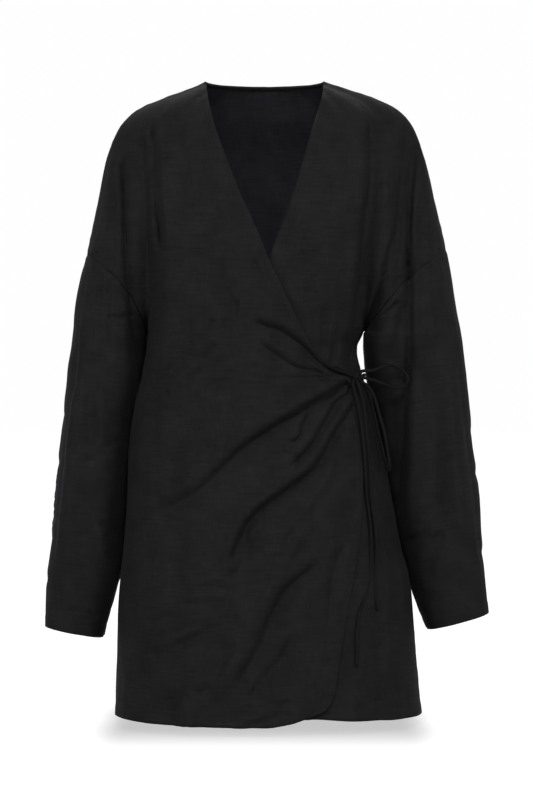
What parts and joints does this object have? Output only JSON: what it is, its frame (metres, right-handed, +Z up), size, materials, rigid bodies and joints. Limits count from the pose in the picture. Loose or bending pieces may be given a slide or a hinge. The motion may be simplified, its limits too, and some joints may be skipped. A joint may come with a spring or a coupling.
{
  "type": "wrap dress",
  "caption": "Long-sleeved mini wrap dress with dropped shoulders and a deep V neck, its narrow ties knotted in a bow at the side waist, hollow as worn.",
  "frame": {"origin": "midway between the two neck points, where the wearer's shoulders carry the dress", "axes": "+Z up, the front faces -Y, +X is the wearer's left"},
  "size_m": [0.5808, 0.2714, 0.8296],
  "materials": {
    "dress_cloth": "matt near-black slubbed weave"
  },
  "bodies": {
    "root": {"right_front": "dress_cloth", "left_front": "dress_cloth", "back": "dress_cloth", "right_sleeve": "dress_cloth", "left_sleeve": "dress_cloth", "back_neck_binding": "dress_cloth", "tie_knot": "dress_cloth", "tie_lead_front": "dress_cloth", "tie_lead_side": "dress_cloth", "tie_loop_short": "dress_cloth", "tie_loop_long": "dress_cloth", "tie_tail_short": "dress_cloth", "tie_tail_long": "dress_cloth"}
  },
  "joints": []
}
